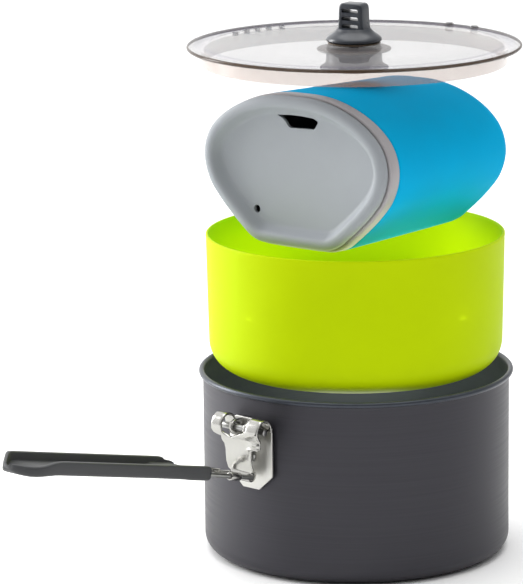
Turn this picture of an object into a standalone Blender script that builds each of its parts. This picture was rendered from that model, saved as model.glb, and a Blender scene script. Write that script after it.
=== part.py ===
# Camping cook pot set: pot with folding handle, bowl, lying mug and knobbed lid.
# Metres, +Z up, origin at the centre of the pot's underside, handle along -X.
# The stack is set out exploded: pot, bowl above it, mug above the bowl, lid above the mug.
import bpy, bmesh, math
from mathutils import Vector, Matrix

for o in list(bpy.data.objects):
    bpy.data.objects.remove(o, do_unlink=True)

MM = 0.001
# ---- pot -------------------------------------------------------------
POT_R = 71.0          # outside radius of the straight wall
POT_WALL = 0.9
POT_H = 85.75         # top of the rolled rim
POT_BEAD_R = 1.25
POT_FILLET = 7.5
# ---- bowl ------------------------------------------------------------
BOWL_Z0 = 86.1        # underside as set out
BOWL_H = 63.3
BOWL_R_TOP = 68.9
BOWL_R_LOW = 67.9
BOWL_FILLET = 13.5
BOWL_WALL = 1.6
# ---- pot lid ---------------------------------------------------------
LID_TOP = 236.4
LID_T = 1.6
LID_R = 76.4
LID_SKIRT_R = 69.8
LID_SKIRT_T = 1.4
LID_SKIRT_Z = 227.6
# ---- knob ------------------------------------------------------------
KNOB_Z0 = 237.6
KNOB_R = 12.7
KNOB_CONE_TOP = 243.0
KNOB_TOP = 255.2
KNOB_W = 12.4
KNOB_T = 8.0
KNOB_YAW = -169.0     # direction its slotted face looks, degrees from +X
# ---- mug -------------------------------------------------------------
MUG_YAW = -175.5      # direction the mug's lid looks
MUG_SIDE = 3.35       # sideways offset of the mug's axis
MUG_Z = 178.5         # height of the mug's section centre
MUG_L = 105.2
MUG_LID_D = 5.0       # depth of the mug lid's side
MUG_BAND_D = 7.0      # depth of the cup's bare rim band
# half outline of the mug's section, across and up from its centre
MUG_HALF = [(0.0, 40.4), (8.0, 40.3), (16.1, 39.3), (24.3, 37.1), (32.6, 33.6), (40.4, 28.7),
            (46.7, 22.3), (50.0, 14.7), (50.2, 6.6), (47.0, -2.3), (41.0, -10.0), (34.9, -16.1),
            (29.3, -21.0), (24.7, -24.7), (19.6, -26.9), (13.0, -27.4), (0.0, -27.5)]
# ---- handle and bracket (u = outward from the pot's axis along -X) ----
PIN_U, PIN_Z = 78.5, 71.2
EAR_R, SHEET = 5.3, 1.2
BAR_U, BAR_Z = 77.5, 49.5
WIRE_R = 1.1
SLOPE = math.tan(math.radians(13.0))   # rise of the grip
WIRE_SLOPE = 0.255    # rise of the wire frame
WIRE_DROP = 0.5       # legs start this far below the cross bar
GRIP_Z = 56.0         # underside of the grip at u = 110
LEG_V = 5.6           # half spacing of the wire's legs
GRIP_U0, GRIP_U1 = 114.0, 226.0
GRIP_W = 15.0         # half width
GRIP_H = 6.0
GRIP_WALL = 3.3
GRIP_FLOOR = 2.2

GAP = 0.3


def material(name, rgb, rough, metal=0.0, alpha=1.0):
    m = bpy.data.materials.new(name)
    m.use_nodes = True
    b = m.node_tree.nodes.get("Principled BSDF")
    b.inputs["Base Color"].default_value = (rgb[0], rgb[1], rgb[2], 1.0)
    b.inputs["Roughness"].default_value = rough
    b.inputs["Metallic"].default_value = metal
    b.inputs["Alpha"].default_value = alpha
    m.diffuse_color = (rgb[0], rgb[1], rgb[2], alpha)
    return m


def smooth(ob, angle=35.0):
    me = ob.data
    me.shade_smooth()
    me.set_sharp_from_angle(angle=math.radians(angle))


def finish(bm, name, mat, sm=True, angle=35.0):
    bmesh.ops.remove_doubles(bm, verts=bm.verts, dist=1e-6)
    bmesh.ops.recalc_face_normals(bm, faces=bm.faces)
    bmesh.ops.triangulate(bm, faces=[f for f in bm.faces if len(f.verts) > 4])
    me = bpy.data.meshes.new(name)
    bm.to_mesh(me)
    bm.free()
    ob = bpy.data.objects.new(name, me)
    bpy.context.scene.collection.objects.link(ob)
    if mat is not None:
        me.materials.append(mat)
    if sm:
        smooth(ob, angle)
    return ob


def lathe(name, prof, mat, seg=64, closed=False, cx=0.0, cy=0.0, angle=35.0):
    """Revolve (r, z) points in mm about a vertical axis. closed=False runs axis to axis."""
    bm = bmesh.new()
    rings = []
    for r, z in prof:
        if r < 1e-6:
            rings.append([bm.verts.new((cx * MM, cy * MM, z * MM))])
        else:
            rings.append([bm.verts.new(((cx + r * math.cos(2 * math.pi * k / seg)) * MM,
                                        (cy + r * math.sin(2 * math.pi * k / seg)) * MM, z * MM))
                          for k in range(seg)])
    n = len(rings)
    for i in range(n if closed else n - 1):
        a, b = rings[i], rings[(i + 1) % n]
        for k in range(seg):
            k2 = (k + 1) % seg
            if len(a) == 1 and len(b) == 1:
                continue
            if len(a) == 1:
                bm.faces.new((a[0], b[k], b[k2]))
            elif len(b) == 1:
                bm.faces.new((a[k], b[0], a[k2]))
            else:
                bm.faces.new((a[k], b[k], b[k2], a[k2]))
    return finish(bm, name, mat, angle=angle)


def arc(cx, cz, r, a0, a1, n):
    return [(cx + r * math.cos(math.radians(a0 + (a1 - a0) * i / n)),
             cz + r * math.sin(math.radians(a0 + (a1 - a0) * i / n))) for i in range(n + 1)]


def loft(name, rings, mat, cap0=True, cap1=True, angle=35.0, wrap=False):
    """Join rings of equal length; each ring is a closed loop of points in mm."""
    bm = bmesh.new()
    rs = [[bm.verts.new((p[0] * MM, p[1] * MM, p[2] * MM)) for p in r] for r in rings]
    n = len(rs[0])
    m = len(rs)
    for i in range(m if wrap else m - 1):
        a, b = rs[i], rs[(i + 1) % m]
        for k in range(n):
            k2 = (k + 1) % n
            bm.faces.new((a[k], a[k2], b[k2], b[k]))
    if not wrap:
        if cap0:
            bm.faces.new(rs[0][::-1])
        if cap1:
            bm.faces.new(rs[-1])
    return finish(bm, name, mat, angle=angle)


def tube(name, path, r, mat, seg=10, rin=None):
    """Round bar (or sleeve when rin is set) along a list of points in mm."""
    pts = [Vector(p) for p in path]
    tang = []
    for i in range(len(pts)):
        a = pts[max(i - 1, 0)]
        b = pts[min(i + 1, len(pts) - 1)]
        tang.append((b - a).normalized())
    up = Vector((0, 0, 1))
    if abs(tang[0].dot(up)) > 0.9:
        up = Vector((1, 0, 0))
    rings = []
    nrm = (up - tang[0] * up.dot(tang[0])).normalized()
    for p, t in zip(pts, tang):
        nrm = (nrm - t * nrm.dot(t)).normalized()
        bi = t.cross(nrm)
        rings.append((p, nrm.copy(), bi))

    def ring(p, nn, bi, rr):
        return [p + (nn * math.cos(2 * math.pi * k / seg) + bi * math.sin(2 * math.pi * k / seg)) * rr
                for k in range(seg)]
    outer = [ring(p, nn, bi, r) for p, nn, bi in rings]
    if rin is None:
        return loft(name, outer, mat)
    inner = [ring(p, nn, bi, rin) for p, nn, bi in rings][::-1]
    return loft(name, outer + inner, mat, wrap=True)


def prism(name, poly, axis_from, axis_to, mat, frame, angle=35.0):
    """Extrude a closed polygon of 2-D points; frame(a, b, t) gives the 3-D point in mm."""
    rings = [[frame(a, b, t) for a, b in poly] for t in (axis_from, axis_to)]
    return loft(name, rings, mat, angle=angle)


def boolean(ob, cutters, op="DIFFERENCE"):
    for c in cutters:
        c.hide_render = True
        c.display_type = "WIRE"
        m = ob.modifiers.new("b", "BOOLEAN")
        m.operation = op
        m.solver = "EXACT"
        m.object = c
        dg = bpy.context.evaluated_depsgraph_get()
        me = bpy.data.meshes.new_from_object(ob.evaluated_get(dg))
        ob.modifiers.clear()
        old = ob.data
        ob.data = me
        bpy.data.meshes.remove(old)
        bpy.data.objects.remove(c, do_unlink=True)
    bm = bmesh.new()
    bm.from_mesh(ob.data)
    bmesh.ops.remove_doubles(bm, verts=bm.verts, dist=2e-6)
    bmesh.ops.recalc_face_normals(bm, faces=bm.faces)
    bm.to_mesh(ob.data)
    bm.free()
    smooth(ob)


def cyl(x, y, z0, z1, r, seg=12, name="cut"):
    return lathe(name, [(0, z0), (r, z0), (r, z1), (0, z1)], None, seg=seg, cx=x, cy=y)


def hinge_at(ob, u, z):
    """Put the object's origin on the hinge line without moving its shape."""
    off = Vector((-u * MM, 0, z * MM))
    ob.data.transform(Matrix.Translation(-off))
    ob.location = off


# ---- materials -------------------------------------------------------
M_pot = material("hard_anodised", (0.075, 0.070, 0.080), 0.42, 0.75)
M_steel = material("bright_stainless", (0.66, 0.66, 0.63), 0.22, 1.0)
M_pin = material("pin_steel", (0.45, 0.45, 0.44), 0.3, 1.0)
M_grip = material("grip_rubber", (0.048, 0.048, 0.045), 0.55)
M_bowl = material("lime_plastic", (0.47, 0.66, 0.0), 0.38)
M_lid = material("smoke_clear_plastic", (0.66, 0.63, 0.60), 0.12, 0.0, 0.45)
M_boss = material("tan_washer", (0.42, 0.35, 0.27), 0.4)
M_ret = material("dark_retainer", (0.035, 0.035, 0.04), 0.45)
M_knob = material("knob_nylon", (0.045, 0.05, 0.06), 0.35)
M_cup = material("mug_cup_plastic", (0.42, 0.40, 0.40), 0.4)
M_sleeve = material("blue_sleeve", (0.0, 0.28, 0.55), 0.7)
M_mlid = material("mug_lid_soft", (0.36, 0.39, 0.41), 0.6)

# ---- pot -------------------------------------------------------------
ri = POT_R - POT_WALL
bz = POT_H - POT_BEAD_R
prof = [(0, 0)]
prof += arc(POT_R - POT_FILLET, POT_FILLET, POT_FILLET, -90, 0, 5)
prof += [(POT_R, POT_H - 3.0)]
prof += [(POT_R + 0.25, bz - 1.05)] + arc(POT_R + 0.65, bz, POT_BEAD_R, -50, 150, 7)
prof += [(ri, bz - 0.2), (ri, POT_FILLET)]
prof += arc(POT_R - POT_FILLET, POT_FILLET, POT_FILLET - POT_WALL, 0, -90, 4)
prof += [(0, POT_WALL)]
lathe("pot_body", prof, M_pot, seg=72)

# ---- bracket on the pot wall -----------------------------------------
# plate standing off the wall, corners cut at the bottom
PLATE_U0, PLATE_U1 = 71.6, 72.7
PLATE_W = 12.8
pl = [(-4.9, 42.0), (4.9, 42.0), (PLATE_W, 49.0), (PLATE_W, 71.4), (PLATE_W - 0.8, 72.4), (9.0, 74.7),
      (-9.0, 74.7), (-PLATE_W + 0.8, 72.4), (-PLATE_W, 71.4), (-PLATE_W, 49.0)]
prism("bracket_plate", pl, PLATE_U0, PLATE_U1, M_steel, lambda a, b, t: (-t, -a, b))
# rivets through the plate: rounded heads outside, stem reaching towards the wall
for nm, zz in (("rivet_upper", 70.3), ("rivet_lower", 57.5)):
    # thin spacer under the plate
    ob = lathe(nm, [(0, 0), (3.2, 0), (3.2, 0.3), (0, 0.3)], M_steel, seg=16)
    ob.data.transform(Matrix.Translation((-0.07145, 0, zz * MM)) @ Matrix.Rotation(math.radians(90), 4, "Y"))
for nm, zz in (("rivet_head_upper", 70.3), ("rivet_head_lower", 57.5)):
    ob = lathe(nm, [(0, 0), (3.1, 0), (3.1, 0.5), (2.2, 1.25), (0, 1.5)], M_pin, seg=18)
    ob.data.transform(Matrix.Translation((-(PLATE_U1 + 0.1) * MM, 0, zz * MM)) @ Matrix.Rotation(math.radians(-90), 4, "Y"))


def strap(name, path, rows, mask, thick, mat):
    """Bent sheet: path of (u, z) mid-line points, rows of v positions per path point,
    mask[i][j] tells whether the cell between path points i, i+1 and v lines j, j+1 exists."""
    n = len(path)
    nor = []
    for i in range(n):
        a = path[max(i - 1, 0)]
        b = path[min(i + 1, n - 1)]
        d = Vector((b[0] - a[0], b[1] - a[1])).normalized()
        nor.append((-d[1], d[0]))
    bm = bmesh.new()
    V = {}

    def vert(i, j, s):
        k = (i, j, s)
        if k not in V:
            u = path[i][0] + nor[i][0] * s * thick / 2
            z = path[i][1] + nor[i][1] * s * thick / 2
            V[k] = bm.verts.new((-u * MM, -rows[i][j] * MM, z * MM))
        return V[k]
    m = len(rows[0])

    def on(i, j):
        return 0 <= i < n - 1 and 0 <= j < m - 1 and mask[i][j]
    for i in range(n - 1):
        for j in range(m - 1):
            if not mask[i][j]:
                continue
            bm.faces.new((vert(i, j, 1), vert(i + 1, j, 1), vert(i + 1, j + 1, 1), vert(i, j + 1, 1)))
            bm.faces.new((vert(i, j, -1), vert(i, j + 1, -1), vert(i + 1, j + 1, -1), vert(i + 1, j, -1)))
            if not on(i - 1, j):
                bm.faces.new((vert(i, j, 1), vert(i, j + 1, 1), vert(i, j + 1, -1), vert(i, j, -1)))
            if not on(i + 1, j):
                bm.faces.new((vert(i + 1, j, 1), vert(i + 1, j, -1), vert(i + 1, j + 1, -1), vert(i + 1, j + 1, 1)))
            if not on(i, j - 1):
                bm.faces.new((vert(i, j, 1), vert(i, j, -1), vert(i + 1, j, -1), vert(i + 1, j, 1)))
            if not on(i, j + 1):
                bm.faces.new((vert(i, j + 1, 1), vert(i + 1, j + 1, 1), vert(i + 1, j + 1, -1), vert(i, j + 1, -1)))
    return finish(bm, name, mat)


# lugs standing off the plate and holding the hinge pin
LUG0, LUG1 = 3.4, 5.0
for nm, s in (("lug_left", -1), ("lug_right", 1)):
    poly = [(PLATE_U1 + GAP, 65.5), (PIN_U + 0.3, 67.5), (PIN_U + 2.7, 69.0), (PIN_U + 3.5, 71.2),
            (PIN_U + 2.7, 73.4), (PIN_U, 74.7), (PLATE_U1 + GAP, 74.5)]
    ob = prism(nm, poly, s * LUG0, s * LUG1, M_steel, lambda a, b, t: (-a, -t, b))
    c = lathe("cut", [(0, -2), (1.75, -2), (1.75, 2), (0, 2)], None, seg=14)
    c.data.transform(Matrix.Translation((-PIN_U * MM, -s * 0.5 * (LUG0 + LUG1) * MM, PIN_Z * MM)) @ Matrix.Rotation(math.radians(90), 4, "X"))
    boolean(ob, [c])
ob = lathe("hinge_pin", [(0, -14.2), (1.5, -14.2), (1.5, 14.2), (0, 14.2)], M_pin, seg=14)
ob.data.transform(Matrix.Translation((-PIN_U * MM, 0, PIN_Z * MM)) @ Matrix.Rotation(math.radians(90), 4, "X"))

# ---- claw: two curled ears on the pin, web, and a barrel on the wire ----
mid = EAR_R - SHEET / 2
path = arc(PIN_U, PIN_Z, mid, 200, -50, 11)
nE = len(path)
u1, z1 = path[-1]
low = arc(BAR_U, BAR_Z, 2.35, 20, -210, 8)
uL, zL = low[0]
nW = 4
path += [(u1 + (uL - u1) * k / nW, z1 + (zL - z1) * k / nW) for k in range(1, nW)]
path += low
EARS = [-14.0, -11.0, -8.0, 0.0, 7.0, 10.5, 14.0]
WAIST = [-7.6, -5.6, -3.4, 0.0, 3.4, 5.6, 7.6]
TAIL = [-5.1, -3.6, -2.0, 0.0, 2.0, 3.6, 5.1]
rows, mask = [], []
for i in range(len(path)):
    if i < nE - 1:
        rows.append(EARS)
    elif i == nE - 1:
        rows.append([a * 0.55 + b * 0.45 for a, b in zip(EARS, WAIST)])
    elif i < nE + nW - 2:
        rows.append(WAIST)
    else:
        rows.append(TAIL)
for i in range(len(path) - 1):
    if i < nE - 2:
        mask.append([1, 1, 0, 0, 1, 1])
    else:
        mask.append([1] * 6)
ob = strap("claw", path, rows, mask, SHEET, M_steel)
hinge_at(ob, PIN_U, PIN_Z)

# ---- wire frame: cross bar in the barrel, two legs out to the grip ----


def leg_z(u):
    return BAR_Z - WIRE_DROP + (u - BAR_U) * WIRE_SLOPE


HOLD = 11.0           # length of wire held in the grip's solid end
pth = [(GRIP_U0 + HOLD, -LEG_V, leg_z(GRIP_U0 + HOLD)), (BAR_U + 3.2, -LEG_V - 0.9, leg_z(BAR_U + 3.2)),
       (BAR_U + 1.3, -LEG_V - 0.8, leg_z(BAR_U + 1.3)), (BAR_U + 0.3, -LEG_V - 0.2, BAR_Z), (BAR_U, -LEG_V + 0.8, BAR_Z),
       (BAR_U, LEG_V - 0.8, BAR_Z), (BAR_U + 0.3, LEG_V + 0.2, BAR_Z), (BAR_U + 1.3, LEG_V + 0.8, leg_z(BAR_U + 1.3)),
       (BAR_U + 3.2, LEG_V + 0.9, leg_z(BAR_U + 3.2)), (GRIP_U0 + HOLD, LEG_V, leg_z(GRIP_U0 + HOLD))]
ob = tube("handle_wire", [(-u, -v, z) for u, v, z in pth], WIRE_R, M_pin, seg=10)
hinge_at(ob, PIN_U, PIN_Z)
for nm, s in (("ferrule_left", -1), ("ferrule_right", 1)):
    def at(u):
        t = (u - (BAR_U + 3.2)) / (GRIP_U0 + HOLD - (BAR_U + 3.2))
        return (-u, -s * (LEG_V + 0.9 - 0.9 * t), leg_z(u))
    ob = tube(nm, [at(87.5), at(93.5)], 1.9, M_steel, seg=12, rin=WIRE_R + 0.25)
    hinge_at(ob, PIN_U, PIN_Z)

# ---- grip: trough with two rails and a rounded scooped tip -------------


def grip_ring(u, w, hb, hn, hf, fl, inner):
    """Section at u; hb underside lift, hn and hf top of near and far rail, fl floor."""
    z0 = GRIP_Z + (u - 110.0) * SLOPE
    c = min(1.2, w * 0.3)
    P = [(-w + c, hb), (w - c, hb), (w, hb + c * 0.8), (w, hn - 0.7), (w - 0.8, hn),
         (inner + 0.7, hn), (inner, hn - 0.5), (inner, fl + 0.6), (inner - 0.6 * min(1, inner), fl),
         (-inner + 0.6 * min(1, inner), fl), (-inner, fl + 0.6), (-inner, hf - 0.5), (-inner - 0.7, hf), (-w + 0.8, hf),
         (-w, hf - 0.7), (-w, hb + c * 0.8)]
    ca, sa = math.cos(math.radians(13.0)), math.sin(math.radians(13.0))
    return [(-(u - h * sa), -v, z0 + h * ca) for v, h in P]


st = []
W, H, F = GRIP_W, GRIP_H, GRIP_FLOOR
I = GRIP_W - GRIP_WALL
st.append(grip_ring(GRIP_U0, W - 1.6, 0.6, H - 1.6, H - 1.6, H - 2.0, I + 0.6))
st.append(grip_ring(GRIP_U0 + 0.9, W - 0.5, -0.1, H - 0.6, H - 0.6, H - 1.7, I + 0.1))
st.append(grip_ring(GRIP_U0 + 2.6, W, -0.4, H, H, H - 1.7, I))
st.append(grip_ring(GRIP_U0 + HOLD + 2.0, W, -0.4, H, H, H - 1.7, I))
st.append(grip_ring(GRIP_U0 + HOLD + 5.0, W, -0.2, H, H, F, I))
for u in (140.0, 165.0, 185.0, 198.0):
    st.append(grip_ring(u, W, 0, H, H, F, I))
# tip: u, half width, underside, dip of the rim, wall, floor
for u, w, hb, d, wall, fl in ((204.0, 15.0, 0.0, 0.0, 3.3, F), (207.0, 15.0, 0.0, 0.3, 3.2, F), (209.5, 14.8, -0.2, 1.0, 3.0, F),
                              (211.5, 14.0, -0.5, 1.8, 2.8, F - 0.4), (213.5, 12.5, -0.7, 2.5, 2.5, F - 0.8), (216.0, 10.5, -0.7, 3.0, 2.3, F - 1.0),
                              (218.5, 8.5, -0.5, 3.2, 2.2, F - 1.0), (221.0, 6.7, -0.1, 3.2, 2.2, F - 0.8), (223.0, 5.2, 0.4, 3.1, 2.2, 1.7)):
    st.append(grip_ring(u, w, hb, H - d, H - d, fl, w - wall))
st.append(grip_ring(224.8, 3.9, 0.8, H - 3.0, H - 3.0, H - 3.6, 1.9))
st.append(grip_ring(226.0, 2.5, 1.2, H - 3.2, H - 3.2, H - 3.7, 0.9))
grip = loft("handle_grip", st, M_grip)
cut = []
for s in (-1, 1):
    cut.append(tube("cut", [(-u, -s * (LEG_V + 0.9 * (GRIP_U0 + HOLD - u) / (GRIP_U0 + HOLD - BAR_U - 3.2)), leg_z(u)) for u in (GRIP_U0 - 3, GRIP_U0 + HOLD + 0.4)],
                    WIRE_R + 0.2, None, seg=10))
boolean(grip, cut)
hinge_at(grip, PIN_U, PIN_Z)

# ---- bowl ------------------------------------------------------------
z0, zt = BOWL_Z0, BOWL_Z0 + BOWL_H
fr = BOWL_FILLET
prof = [(0, z0 + 0.6), (46.0, z0 + 0.6), (48.0, z0)]
prof += arc(BOWL_R_LOW - fr, z0 + fr, fr, -90, 0, 6)
prof += [(BOWL_R_TOP - 0.15, zt - 1.2), (BOWL_R_TOP, zt - 0.5), (BOWL_R_TOP - 0.3, zt), (BOWL_R_TOP - 1.1, zt),
         (BOWL_R_TOP - 1.5, zt - 0.5)]
prof += arc(BOWL_R_LOW - fr, z0 + fr, fr - BOWL_WALL, 0, -90, 5)
prof += [(0, z0 + 0.6 + BOWL_WALL)]
lathe("bowl", prof, M_bowl, seg=64)

# ---- mug -------------------------------------------------------------
sec = [(x, z) for x, z in MUG_HALF] + [(-x, z) for x, z in MUG_HALF[-2:0:-1]]
NS = len(sec)
nrm = []
for k in range(NS):
    a, b = sec[k - 1], sec[(k + 1) % NS]
    d = Vector((b[0] - a[0], b[1] - a[1])).normalized()
    nrm.append((-d[1], d[0]))
if nrm[0][1] < 0:
    nrm = [(-a, -b) for a, b in nrm]
yaw = math.radians(MUG_YAW)
face = Vector((math.cos(yaw), math.sin(yaw), 0))      # way the lid looks
side = Vector((-face.y, face.x, 0))                   # to its left seen from above


def mring(a, off, scale=None):
    """Section ring a mm behind the lid's face, grown by off mm."""
    k = a / MUG_L
    sx = (1 - 0.043 * k) if scale is None else scale
    sz = (1 - 0.009 * k) if scale is None else scale
    out = []
    for (x, z), (nx, nz) in zip(sec, nrm):
        X = (x + nx * off) * sx
        Z = (z + nz * off) * sz - 0.1 * k
        p = face * (MUG_L / 2 - a) + side * (X + MUG_SIDE)
        out.append((p.x, p.y, MUG_Z + Z))
    return out


# cup: bare flared rim band, thin wall inside the sleeve, closed base
A0 = MUG_LID_D + GAP
A1 = MUG_LID_D + MUG_BAND_D
AE = MUG_L
out = [(A0, 0.4), (A0 + 0.8, 1.1), (A1 - 0.3, 1.3), (A1 - 0.29, -0.9), (AE - 10.0, -0.9), (AE - 6.5, -1.9),
       (AE - 3.6, -5.0), (AE - 2.6, -9.0)]
inn = [(AE - 4.4, -9.4), (AE - 5.4, -6.4), (AE - 8.4, -3.6), (AE - 11.0, -2.5), (A1 + 2.0, -2.5), (A1 - 1.5, -1.6), (A0, -1.4)]
rings = [mring(a, o) for a, o in out] + [mring(a, o) for a, o in inn]


def capped_shell(name, outer, inner, mat):
    """Cup shape: outer rings from mouth to base, inner rings from base to mouth."""
    bm = bmesh.new()
    ro = [[bm.verts.new((p[0] * MM, p[1] * MM, p[2] * MM)) for p in r] for r in outer]
    rn = [[bm.verts.new((p[0] * MM, p[1] * MM, p[2] * MM)) for p in r] for r in inner]
    n = len(ro[0])

    def band(a, b):
        for k in range(n):
            k2 = (k + 1) % n
            bm.faces.new((a[k], a[k2], b[k2], b[k]))
    for i in range(len(ro) - 1):
        band(ro[i], ro[i + 1])
    for i in range(len(rn) - 1):
        band(rn[i], rn[i + 1])
    band(rn[-1], ro[0])
    bm.faces.new(ro[-1])
    bm.faces.new(rn[0][::-1])
    return finish(bm, name, mat)


capped_shell("mug_cup", [mring(a, o) for a, o in out], [mring(a, o) for a, o in inn], M_cup)
# insulating sleeve over the cup, with its own closed base
so = [(A1 + 0.1, 1.0), (A1 + 0.7, 1.4), (AE - 8.0, 1.4), (AE - 4.5, 0.6), (AE - 1.8, -1.6), (AE - 0.4, -4.6), (AE, -8.5)]
si = [(AE - 2.0, -8.9), (AE - 3.2, -4.7), (AE - 6.2, -1.5), (AE - 10.0, -0.5), (A1 + 0.1, -0.5)]
capped_shell("mug_sleeve", [mring(a, o) for a, o in so], [mring(a, o) for a, o in si], M_sleeve)
# press-on lid: raised rim, sunk panel, plug inside the cup's mouth
lo = [(MUG_LID_D + 6.0, -3.4), (MUG_LID_D + 5.0, -2.6), (MUG_LID_D, -2.6), (MUG_LID_D, 0.1), (MUG_LID_D - 1.0, 0.35),
      (1.6, 0.0), (0.45, -1.1), (0.0, -2.8), (0.05, -5.2), (0.9, -6.6), (3.4, -9.6)]
li = [(MUG_LID_D + 6.0, -4.8)]
bm = bmesh.new()
ro = [[bm.verts.new((p[0] * MM, p[1] * MM, p[2] * MM)) for p in mring(a, o, 1.0)] for a, o in lo]
back = [(5.4, -10.2), (3.0, -7.3), (MUG_LID_D + 1.0, -4.9), (MUG_LID_D + 6.0, -4.9)]
back = [(5.6, -10.6), (5.4, -7.0), (6.2, -4.9), (MUG_LID_D + 6.0, -4.9)]
rb = [[bm.verts.new((p[0] * MM, p[1] * MM, p[2] * MM)) for p in mring(a, o, 1.0)] for a, o in back]
n = NS


def band(a, b):
    for k in range(n):
        k2 = (k + 1) % n
        bm.faces.new((a[k], a[k2], b[k2], b[k]))


for i in range(len(ro) - 1):
    band(ro[i], ro[i + 1])
bm.faces.new(ro[-1])
bm.faces.new(rb[0][::-1])
for i in range(len(rb) - 1):
    band(rb[i], rb[i + 1])
band(rb[-1], ro[0])
mlid = finish(bm, "mug_lid", M_mlid)


def along(name, poly, a0, a1):
    """Cutter running along the mug's axis; poly is (across, up) from the section centre."""
    rr = []
    for a in (a0, a1):
        ring = []
        for x, z in poly:
            p = face * (MUG_L / 2 - a) + side * (x + MUG_SIDE)
            ring.append((p.x, p.y, MUG_Z + z))
        rr.append(ring)
    return loft(name, rr, None)


sip = along("cut", [(-11.1, 31.1), (-6.6, 28.8), (-5.2, 26.9), (-3.8, 25.9), (9.7, 26.3), (11.9, 29.7), (9.2, 31.2), (2.5, 31.7)][::-1], -2.0, 12.0)
vent = along("cut", [(-23.1 + 1.75 * math.cos(t * math.pi / 5), -13.2 + 1.85 * math.sin(t * math.pi / 5)) for t in range(10)], -2.0, 12.0)
boolean(mlid, [sip, vent])

# ---- pot lid ---------------------------------------------------------
zu = LID_TOP - LID_T
si_r = LID_SKIRT_R - LID_SKIRT_T
prof = [(2.3, zu), (si_r, zu), (si_r, LID_SKIRT_Z + 0.3), (si_r + 0.3, LID_SKIRT_Z), (LID_SKIRT_R - 0.4, LID_SKIRT_Z),
        (LID_SKIRT_R, LID_SKIRT_Z + 0.5), (LID_SKIRT_R, zu), (LID_R - 0.4, zu), (LID_R, zu + 0.45), (LID_R, LID_TOP - 0.35),
        (LID_R - 0.4, LID_TOP), (LID_R - 3.6, LID_TOP), (LID_R - 4.2, LID_TOP - 0.35), (67.6, LID_TOP - 0.35),
        (67.0, LID_TOP), (2.3, LID_TOP)]
lid = lathe("lid_disc", prof, M_lid, seg=72, closed=True)
cuts = []
for az in (98.0, 91.0, 84.0, 77.0, 70.0):
    cuts.append(cyl(65.6 * math.cos(math.radians(az)), 65.6 * math.sin(math.radians(az)), zu - 1, LID_TOP + 1, 1.5, 12))
for az in (9.0, -2.0):
    cuts.append(cyl(65.6 * math.cos(math.radians(az)), 65.6 * math.sin(math.radians(az)), zu - 1, LID_TOP + 1, 2.2, 12))
boolean(lid, cuts)
lathe("knob_washer", [(2.3, LID_TOP + GAP), (11.8, LID_TOP + GAP), (12.2, LID_TOP + 0.6), (11.8, KNOB_Z0 - 0.3), (2.3, KNOB_Z0 - 0.3)],
      M_boss, seg=32, closed=True)
lathe("lid_gasket", [(2.3, zu - 0.2), (2.3, zu - 1.6), (15.5, zu - 1.6), (17.0, zu - 0.9), (17.0, zu - 0.2)],
      M_boss, seg=32, closed=True)
lathe("knob_retainer", [(2.3, zu - 1.8), (2.3, zu - 10.0), (15.2, zu - 10.0), (15.7, zu - 9.5), (15.7, zu - 8.6), (13.2, zu - 7.4),
                        (12.8, zu - 5.4), (12.8, zu - 1.8)], M_ret, seg=32, closed=True)
lathe("knob_screw", [(0, zu - 11.6), (2.6, zu - 11.6), (3.7, zu - 11.0), (3.7, zu - 10.2), (1.9, zu - 10.2), (1.9, KNOB_Z0 + 4.4),
                     (0, KNOB_Z0 + 4.4)], M_pin, seg=16)

# ---- knob: flared round foot, flat paddle with three slots ------------
knob = lathe("lid_knob", [(0, KNOB_Z0), (12.0, KNOB_Z0), (KNOB_R, KNOB_Z0 + 0.5), (KNOB_R, KNOB_Z0 + 1.2), (11.0, KNOB_Z0 + 2.9),
                          (8.4, KNOB_Z0 + 5.0), (7.6, KNOB_CONE_TOP + 0.3), (0, KNOB_CONE_TOP + 0.3)], M_knob, seg=32)


def kf(a, b, t):
    c, s = math.cos(math.radians(KNOB_YAW)), math.sin(math.radians(KNOB_YAW))
    return (t * c - a * s, t * s + a * c, b)


hw, ht = KNOB_W / 2, KNOB_T / 2
poly = [(-hw - 0.6, KNOB_Z0 + 2.2), (hw + 0.6, KNOB_Z0 + 2.2), (hw + 0.3, KNOB_CONE_TOP + 1), (hw - 0.2, KNOB_TOP - 2.0), (hw - 0.8, KNOB_TOP - 0.7),
        (hw - 2.0, KNOB_TOP), (-hw + 2.0, KNOB_TOP), (-hw + 0.8, KNOB_TOP - 0.7), (-hw + 0.2, KNOB_TOP - 2.0), (-hw - 0.3, KNOB_CONE_TOP + 1)]
rr = []
for t, g in ((-ht, 0.7), (-ht + 0.7, 0.0), (ht - 0.7, 0.0), (ht, 0.7)):
    rr.append([kf(a - math.copysign(g, a), b - (g if b > KNOB_TOP - 3 else 0), t) for a, b in poly])
pad = loft("pad", rr, None)
boolean(knob, [pad], "UNION")
cuts = []
for zz in (KNOB_TOP - 3.5, KNOB_TOP - 7.1, KNOB_TOP - 10.6):
    hh = 0.85
    q = [(-3.6, zz - hh), (3.6, zz - hh), (4.1, zz - hh * 0.4), (4.1, zz + hh * 0.4), (3.6, zz + hh), (-3.6, zz + hh), (-4.1, zz + hh * 0.4), (-4.1, zz - hh * 0.4)]
    cuts.append(loft("cut", [[kf(a, b, t) for a, b in q] for t in (-8, 8)], None))
cuts.append(lathe("cut", [(0, KNOB_Z0 - 1), (2.2, KNOB_Z0 - 1), (2.2, KNOB_Z0 + 4.8), (0, KNOB_Z0 + 4.8)], None, seg=16))
boolean(knob, cuts)
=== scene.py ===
import bpy, bmesh, math
from mathutils import Vector, Matrix

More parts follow.
